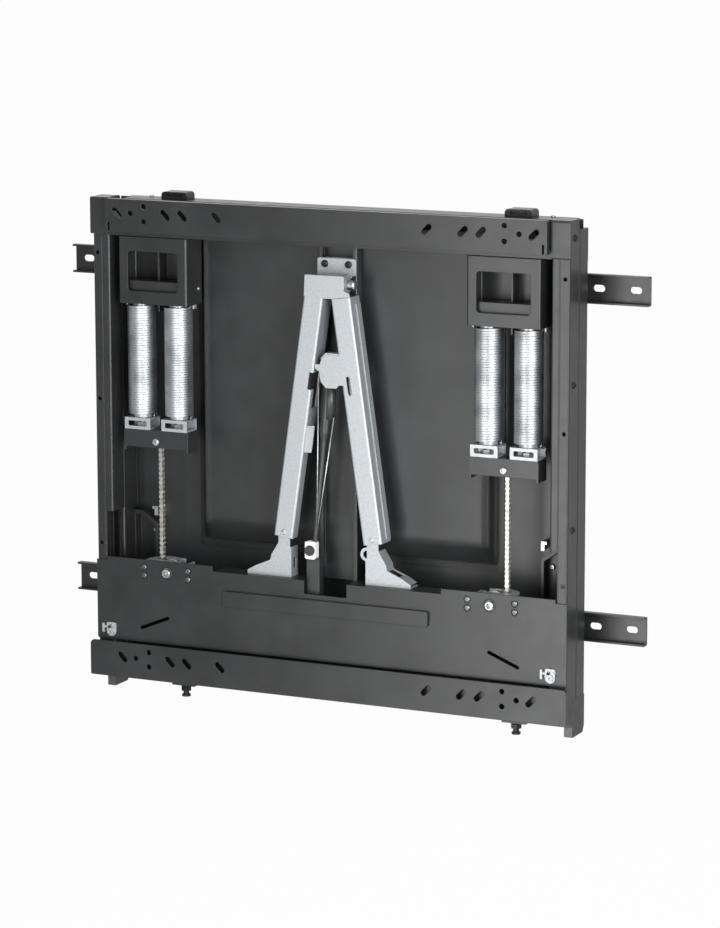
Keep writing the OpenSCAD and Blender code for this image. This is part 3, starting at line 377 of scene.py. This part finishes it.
def add_piece(name, mesh_maker, finish_name, body, smooth=True):
    """Makes an object from a bmesh, gives it its finish and lets it ride on a body."""
    mesh = bpy.data.meshes.new(name)
    bm = bmesh.new()
    mesh_maker(bm)
    bmesh.ops.recalc_face_normals(bm, faces=bm.faces)
    for face in bm.faces:
        face.smooth = smooth
    bm.to_mesh(mesh)
    bm.free()
    piece = bpy.data.objects.new(name, mesh)
    bpy.context.scene.collection.objects.link(piece)
    mesh.materials.append(FINISHES[finish_name])
    if body:
        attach(piece, body)
    return piece


def round_section(radius, sides):
    """Outline of a round bar with this many sides."""
    angles = [2 * math.pi * i / sides for i in range(sides)]
    return [(radius * math.cos(a), radius * math.sin(a)) for a in angles]


def sweep(bm, path, section):
    """Unbroken bar of one section along stations of (centre, direction, sideways)."""
    sides = len(section)
    rings = []
    for centre, along, side in path:
        other = along.cross(side)
        rings.append([bm.verts.new(centre + u * side + v * other) for u, v in section])
    for ring, following in zip(rings, rings[1:]):
        for i in range(sides):
            j = (i + 1) % sides
            bm.faces.new((ring[i], ring[j], following[j], following[i]))
    bm.faces.new(rings[0][::-1])
    bm.faces.new(rings[-1])


def add_box(bm, lo, hi, turn=None):
    """Box between two corners given in millimetres, turned by a matrix at the end."""
    lo, hi = Vector(lo), Vector(hi)
    size = Matrix.Diagonal((hi.x - lo.x, hi.y - lo.y, hi.z - lo.z, 1.0))
    place = Matrix.Scale(MM, 4) @ (turn or Matrix()) @ Matrix.Translation((lo + hi) / 2) @ size
    bmesh.ops.create_cube(bm, size=1.0, matrix=place)


def add_head(bm, centre, axis, radius, height):
    """Low domed screw head that stands on centre (mm) and looks along axis."""
    turn = Vector(axis).to_track_quat("Z", "Y").to_matrix().to_4x4()
    place = Matrix.Scale(MM, 4) @ Matrix.Translation(centre) @ turn
    for low, high, wide, narrow in HEAD_RINGS:
        bmesh.ops.create_cone(
            bm, cap_ends=True, segments=HEAD_SIDES, radius1=radius * wide,
            radius2=radius * narrow, depth=height * (high - low),
            matrix=place @ Matrix.Translation((0, 0, height * (low + high) / 2)))


def corners_mm(node):
    """A node's lowest and highest corners in millimetres."""
    return [Vector(v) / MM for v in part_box(node)]


def span(side, near, far):
    """Lower and upper X of a span on this side, from its distances off the middle."""
    return sorted((side * near, side * far))


# ---------------------------------------------------------------- springs


RINGS_PER_TURN = 24
# Section of the wire in diameters, out from the coil's axis and along it: close-wound wire
# flattens a little where the turns bear on each other
WIRE_SECTION = ((0.5, -0.41), (0.5, -0.3), (0.5, 0.3), (0.5, 0.41), (0.465, 0.49), (0.2, 0.515),
                (-0.3, 0.515), (-0.5, 0.3), (-0.5, -0.3), (-0.3, -0.515), (0.2, -0.515),
                (0.465, -0.49))
# The straight end of a spring, in wire diameters: its height, and how far its tip and its bend
# lie aside from where the coil begins; then how high the bend lies as a share of that height,
# and the wire's direction there
END_HEIGHT, TIP_ASIDE, BEND_ASIDE = 1.2, 0.5, 0.35
BEND_SHARE, BEND_ALONG = 0.55, (0, 0.6, 0.8)


def spring_stations(x, y, low, high, turns, coil_radius, wire):
    """Close-wound coil whose two ends leave square to their seats."""
    lead = END_HEIGHT * wire
    pitch = (high - low - 2 * lead) / turns
    climb = math.atan(pitch / (2 * math.pi * coil_radius))
    up, bent, side = Vector((0, 0, 1)), Vector(BEND_ALONG), Vector((1, 0, 0))

    def end_station(aside, z, along):
        """Station at height z, so many wire diameters aside from where the coil begins."""
        return Vector((x + coil_radius, y + aside * wire, z)), along, side

    path = [end_station(-TIP_ASIDE, low, up),
            end_station(-BEND_ASIDE, low + BEND_SHARE * lead, bent)]
    for k in range(turns * RINGS_PER_TURN + 1):
        a = 2 * math.pi * k / RINGS_PER_TURN
        out = Vector((math.cos(a), math.sin(a), 0))
        along = Vector((-out.y * math.cos(climb), out.x * math.cos(climb), math.sin(climb)))
        centre = Vector((x, y, low + lead + k * pitch / RINGS_PER_TURN)) + coil_radius * out
        path.append((centre, along, out))
    return path + [end_station(BEND_ASIDE, high - BEND_SHARE * lead, bent),
                   end_station(TIP_ASIDE, high, up)]


class MOUNT_OT_springs(bpy.types.Operator):
    """Winds the four tension springs in full in place of the plain spring solids, which it
    hides
    """

    bl_idname = "mount.springs"
    bl_label = "Tension springs"

    def execute(self, context):
        settings = context.scene.mount_springs
        coil_radius = (settings.outer - settings.wire) / 2
        section = [(u * settings.wire, v * settings.wire) for u, v in WIRE_SECTION]
        for number in (1, 2, 3, 4):
            node = f"spring_{number}"
            lo, hi = (Vector(v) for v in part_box(node))
            x, y = (lo.x + hi.x) / 2, (lo.y + hi.y) / 2
            stations = spring_stations(x, y, lo.z, hi.z, settings.turns, coil_radius,
                                       settings.wire)
            piece = add_piece(f"wound_spring_{number}",
                              lambda bm: sweep(bm, stations, section), "spring_wire", None)
            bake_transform(piece)
            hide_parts(node)
        return {"FINISHED"}


# ---------------------------------------------------------------- small trim


# Sizes of the trim in millimetres. A place beside a node counts from its box: inward from its
# outer side, back from its front, up from its lower edge or down from its upper edge.
HANGER_EDGE_UP = 12.0       # a hanger's web reaches this far below its box
CATCH_PLATE_WIDE = 20.4
# Two bright rods: one a thin rod, the other a painted highlight that stands in for the light
# edge of a dark bar
ROD_AND_HIGHLIGHT_LINE = (((-13.5, -79.9, 82.0), (-18.4, -77.0, -127.0)),
                ((8.2, -79.0, 41.0), (-19.7, -78.0, -127.0)))   # upper and lower ends
THIN_ROD_RADIUS, THIN_ROD_SIDES = 0.9, 10
LATCH_TUBE_ENDS = ((0.6, -73.6, 38.0), (0.6, -73.6, 86.0))
LATCH_TUBE_RADIUS, LATCH_TUBE_SIDES = 7.4, 28
LEG_TOP = (19.1, -83.0, 200.5)      # where the right leg's own axes start
LEG_SPLAY = math.radians(8.05)      # how far each leg leans outward
LEG_HALF = 13.75                    # half a leg's width
LEG_TAB_BEND = math.radians(-42)


def leg_turn(side):
    """From a leg's own axes to the mount's, for the left leg or the right leg."""
    return (Matrix.Translation((side * LEG_TOP[0], LEG_TOP[1], LEG_TOP[2]))
            @ Matrix.Rotation(side * -LEG_SPLAY, 4, "Y"))


def hanger_screws(bm):
    """A screw head on the inner side of each spring hanger."""
    back, up = 33.3, 32.5
    lo, _ = corners_mm("right_spring_hanger")
    for side in (LEFT, RIGHT):
        add_head(bm, (side * lo.x, lo.y + back, lo.z + up), (-side, 0, 0),
                 radius=3.0, height=1.6)


def hanger_tabs(bm):
    """A small tab below each side wall of both spring hangers."""
    thick, front, back, drop, sunk = 2.0, 20.0, 27.0, 5.0, 0.3
    lo, hi = corners_mm("right_spring_hanger")
    low = lo.z + HANGER_EDGE_UP
    for side in (LEFT, RIGHT):
        for x in (lo.x, hi.x - thick):
            start, end = span(side, x, x + thick)
            add_box(bm, (start, lo.y + front, low - drop), (end, lo.y + back, low + sunk))


def pan_screws(bm):
    """A screw head on the back pan's upper edge, near each end."""
    inward, back = 43.5, 6.5
    lo, hi = corners_mm("back_pan")
    for side in (LEFT, RIGHT):
        add_head(bm, (side * (hi.x - inward), lo.y + back, hi.z), (0, 0, 1),
                 radius=3.6, height=2.0)


def glide_caps(bm):
    """A thin grey cap on each end block."""
    inner, outer, front, back, low, high = 11.6, 0.4, 22.2, 23.4, 0.6, 13.5
    lo, hi = corners_mm("end_blocks")
    for side in (LEFT, RIGHT):
        start, end = span(side, hi.x - inner, hi.x - outer)
        add_box(bm, (start, lo.y + front, lo.z + low), (end, lo.y + back, lo.z + high))


def catch_plate_heads(bm, right, down, radius):
    """A low head on the front of each catch plate, off its upper left corner."""
    sunk, height = 0.1, 0.8
    lo, hi = corners_mm("catch_plates")
    for left in (lo.x, hi.x - CATCH_PLATE_WIDE):
        add_head(bm, (left + right, lo.y + sunk, hi.z - down), (0, -1, 0), radius, height)


def catch_screws(bm):
    """One small black screw in each catch plate."""
    catch_plate_heads(bm, right=11.4, down=5.9, radius=2.0)


def catch_rivets(bm):
    """One rivet in each catch plate, below the screw."""
    catch_plate_heads(bm, right=13.9, down=13.0, radius=1.6)


def leg_tab(bm):
    """Tab bent out of the left leg's inner flange."""
    half_thick, wide, low, high, back = 0.8, 11.0, -208.0, -172.0, 1.0
    turn = leg_turn(LEFT) @ Matrix.Translation((LEG_HALF, back, 0)) @ Matrix.Rotation(
        LEG_TAB_BEND, 4, "Z")
    add_box(bm, (-half_thick, 0, low), (half_thick, wide, high), turn)


def leg_strips(bm):
    """Rear half of each leg's outer flange, where the folded sheet lies double."""
    sunk, proud, front, back, low, high = 0.2, 1.3, 15.0, 27.0, -322.0, -12.0
    for side in (LEFT, RIGHT):
        start, end = span(side, LEG_HALF - sunk, LEG_HALF + proud)
        add_box(bm, (start, front, low), (end, back, high), leg_turn(side))


def rod_and_highlight_line(bm):
    """Two thin bright steel rods from behind the latch plate down into the nylon block: the one
    is a thin rod, the other a painted highlight that stands in for the light edge of a dark
    bar.
    """
    side = Vector((0, 1, 0))
    section = round_section(THIN_ROD_RADIUS * MM, THIN_ROD_SIDES)
    for ends in ROD_AND_HIGHLIGHT_LINE:
        top, low = (Vector(end) * MM for end in ends)
        along = (top - low).normalized()
        sweep(bm, [(low, along, side), (top, along, side)], section)


def latch_tube(bm):
    """Short tube behind the latch plate, round the top of the leaning rod."""
    up, side = Vector((0, 0, 1)), Vector((1, 0, 0))
    sweep(bm, [(Vector(end) * MM, up, side) for end in LATCH_TUBE_ENDS],
          round_section(LATCH_TUBE_RADIUS * MM, LATCH_TUBE_SIDES))


class MOUNT_OT_trim(bpy.types.Operator):
    """Adds the small screws, tabs, caps and doublers that dress the plain solids"""

    bl_idname = "mount.trim"
    bl_label = "Small trim"

    def execute(self, context):
        add_piece("hanger_wall_screws", hanger_screws, "steel_fasteners", WALL)
        add_piece("hanger_tabs", hanger_tabs, "zinc_plate", WALL, smooth=False)
        add_piece("pan_top_screws", pan_screws, "steel_fasteners", WALL)
        add_piece("glide_caps", glide_caps, "glide_nylon", CARRIAGE, smooth=False)
        add_piece("catch_screws", catch_screws, "black_fasteners", CARRIAGE)
        add_piece("catch_rivets", catch_rivets, "steel_fasteners", CARRIAGE)
        add_piece("leg_tab", leg_tab, "zinc_plate", CARRIAGE, smooth=False)
        add_piece("leg_inner_flanges", leg_strips, "zinc_plate", CARRIAGE, smooth=False)
        # one of these bright rods is a painted highlight for a dark bar's light edge
        add_piece("rod_and_highlight_line", rod_and_highlight_line, "steel_fasteners", CARRIAGE)
        add_piece("latch_tube", latch_tube, "dark_parts", CARRIAGE)
        return {"FINISHED"}


# ---------------------------------------------------------------- finishes


class MOUNT_OT_finishes(bpy.types.Operator):
    """Gives every solid of the mount the finish of its material slot"""

    bl_idname = "mount.finishes"
    bl_label = "Finishes"

    def execute(self, context):
        make_finishes()
        for finish_name, nodes in NODES_BY_FINISH.items():
            for node in nodes.split():
                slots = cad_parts[node].material_slots
                if not len(slots):
                    raise RuntimeError(f"{node} has no material slot")
                for slot in slots:
                    slot.material = FINISHES[finish_name]
        return {"FINISHED"}


# ---------------------------------------------------------------- studio


CAMERA_TARGET = (56.80, -103.0, -12.34)     # in millimetres, on the mount's front plane
CAMERA_ROLL = math.radians(-0.10)
SENSOR_WIDTH = 36.0
VIEW_REACH = 200.0
WORLD_FILL = 0.2            # the white world's strength as a light
MIRRORED_SHARE = 0.58       # how much of the white a reflection shows
FLOOR_HALF = 60.0
FLOOR_GLOW = 0.975          # how much of the floor's white is glow where it is seen
# Each lamp's name, its place, the point it looks at, its two sizes and its watts
LAMPS = (
    ("key", (-0.04, -1.35, -0.2), (0.1, 0, -0.05), (0.6, 1.3), 14),
    ("side", (1.75, -1.6, 0.35), (0.1, 0, 0), (1.2, 1.8), 70),
    ("top", (0.2, -0.7, 2.2), (0, 0, 0), (2.0, 1.4), 14),
    ("rim", (-1.1, 2.3, 0.95), (0, 0, 0.25), (1.6, 0.7), 3),
)


def seen_directly(tree):
    """1 for the camera's rays, MIRRORED_SHARE for mirrored and passed-on rays, else 0."""
    rays = add_node(tree, "ShaderNodeLightPath").outputs
    bent = add_node(tree, "ShaderNodeMath", {"operation": "MAXIMUM"},
                    {0: rays["Is Glossy Ray"], 1: rays["Is Transmission Ray"]})
    dimmed = add_node(tree, "ShaderNodeMath", {"operation": "MULTIPLY", 1: MIRRORED_SHARE},
                      {0: bent.outputs[0]})
    return add_node(tree, "ShaderNodeMath", {"operation": "MAXIMUM"},
                    {0: rays["Is Camera Ray"], 1: dimmed.outputs[0]}).outputs[0]


def soft_light(name, place, aim, size, watts):
    """White area lamp that the camera doesn't see."""
    data = bpy.data.lights.new(name, "AREA")
    data.shape = "RECTANGLE"
    data.size, data.size_y = size
    data.energy = watts
    lamp = bpy.data.objects.new(name, data)
    bpy.context.scene.collection.objects.link(lamp)
    lamp.visible_camera = False
    lamp.location = place
    lamp.rotation_euler = (Vector(aim) - Vector(place)).to_track_quat("-Z", "Y").to_euler()


def add_camera(scene, settings):
    """Camera that looks at CAMERA_TARGET from the azimuth, elevation and distance set."""
    data = bpy.data.cameras.new("camera")
    data.lens = settings.lens
    data.sensor_width = SENSOR_WIDTH
    data.clip_end = VIEW_REACH
    camera = bpy.data.objects.new("camera", data)
    scene.collection.objects.link(camera)
    az, el = settings.azimuth, settings.elevation
    back = Vector((math.sin(az) * math.cos(el), -math.cos(az) * math.cos(el), math.sin(el)))
    camera.location = Vector(CAMERA_TARGET) * MM + back * settings.distance
    turn = (-back).to_track_quat("-Z", "Y").to_matrix()
    camera.rotation_euler = (turn @ Matrix.Rotation(CAMERA_ROLL, 3, "Z")).to_euler()
    scene.camera = camera


def add_world(scene):
    """White world: full white where it is seen, WORLD_FILL as a light on the mount."""
    world = bpy.data.worlds.new("white_studio")
    world.use_nodes = True
    scene.world = world
    tree = world.node_tree
    tree.nodes.clear()
    strength = add_node(tree, "ShaderNodeMapRange",
                        {"To Min": WORLD_FILL, "To Max": 1.0}, {"Value": seen_directly(tree)})
    light = add_node(tree, "ShaderNodeBackground", {"Color": linear(WHITE)},
                     {"Strength": strength.outputs["Result"]})
    output = add_node(tree, "ShaderNodeOutputWorld")
    tree.links.new(light.outputs["Background"], output.inputs["Surface"])


def add_floor(settings):
    """Matt white floor that melts into the white world where the camera sees it."""
    material, tree, output = new_material("matt_white_floor")
    paint = add_node(tree, "ShaderNodeBsdfDiffuse", {"Color": linear("#fbfbfb")})
    glow = add_node(tree, "ShaderNodeEmission", {"Color": linear(WHITE), "Strength": 1.0})
    share = add_node(tree, "ShaderNodeMath", {"operation": "MULTIPLY", 1: FLOOR_GLOW},
                     {0: seen_directly(tree)})
    both = add_node(tree, "ShaderNodeMixShader", None,
                    {0: share.outputs[0], 1: paint.outputs[0], 2: glow.outputs[0]})
    tree.links.new(both.outputs[0], output.inputs["Surface"])
    mesh = bpy.data.meshes.new("floor")
    half, z = FLOOR_HALF, -settings.floor_drop
    mesh.from_pydata([(-half, -half, z), (half, -half, z), (half, half, z), (-half, half, z)],
                     [], [(0, 1, 2, 3)])
    mesh.materials.append(material)
    floor = bpy.data.objects.new("floor", mesh)
    bpy.context.scene.collection.objects.link(floor)


class MOUNT_OT_stage(bpy.types.Operator):
    """Sets the camera, the pale floor, the white studio and its soft lights"""

    bl_idname = "mount.stage"
    bl_label = "Studio"

    def execute(self, context):
        scene = context.scene
        add_camera(scene, scene.mount_studio)
        scene.view_settings.view_transform = "Standard"
        add_world(scene)
        add_floor(scene.mount_studio)
        for lamp in LAMPS:
            soft_light(*lamp)
        return {"FINISHED"}


# ---------------------------------------------------------------- panel and registration


class MOUNT_PT_dressing(bpy.types.Panel):
    """Lists the settings and the steps that dress the mount"""

    bl_idname = "MOUNT_PT_dressing"
    bl_label = "Display mount"
    bl_space_type = "VIEW_3D"
    bl_region_type = "UI"
    bl_category = "Mount"

    def draw(self, context):
        for group in (context.scene.mount_finish, context.scene.mount_springs,
                      context.scene.mount_studio):
            for key in group.__annotations__:
                self.layout.prop(group, key)
        for operator in OPERATORS:
            self.layout.operator(operator.bl_idname)


OPERATORS = (MOUNT_OT_stage, MOUNT_OT_finishes, MOUNT_OT_springs, MOUNT_OT_trim)
CLASSES = (FinishSettings, SpringSettings, StudioSettings) + OPERATORS + (MOUNT_PT_dressing,)


def register():
    for cls in CLASSES:
        bpy.utils.register_class(cls)
    bpy.types.Scene.mount_finish = PointerProperty(type=FinishSettings)
    bpy.types.Scene.mount_springs = PointerProperty(type=SpringSettings)
    bpy.types.Scene.mount_studio = PointerProperty(type=StudioSettings)


def unregister():
    del bpy.types.Scene.mount_finish
    del bpy.types.Scene.mount_springs
    del bpy.types.Scene.mount_studio
    for cls in reversed(CLASSES):
        bpy.utils.unregister_class(cls)


def main():
    """Registers the add-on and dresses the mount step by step."""
    register()
    bpy.ops.mount.stage()
    bpy.ops.mount.finishes()
    bpy.ops.mount.springs()
    bpy.ops.mount.trim()


if __name__ == "__main__":
    main()
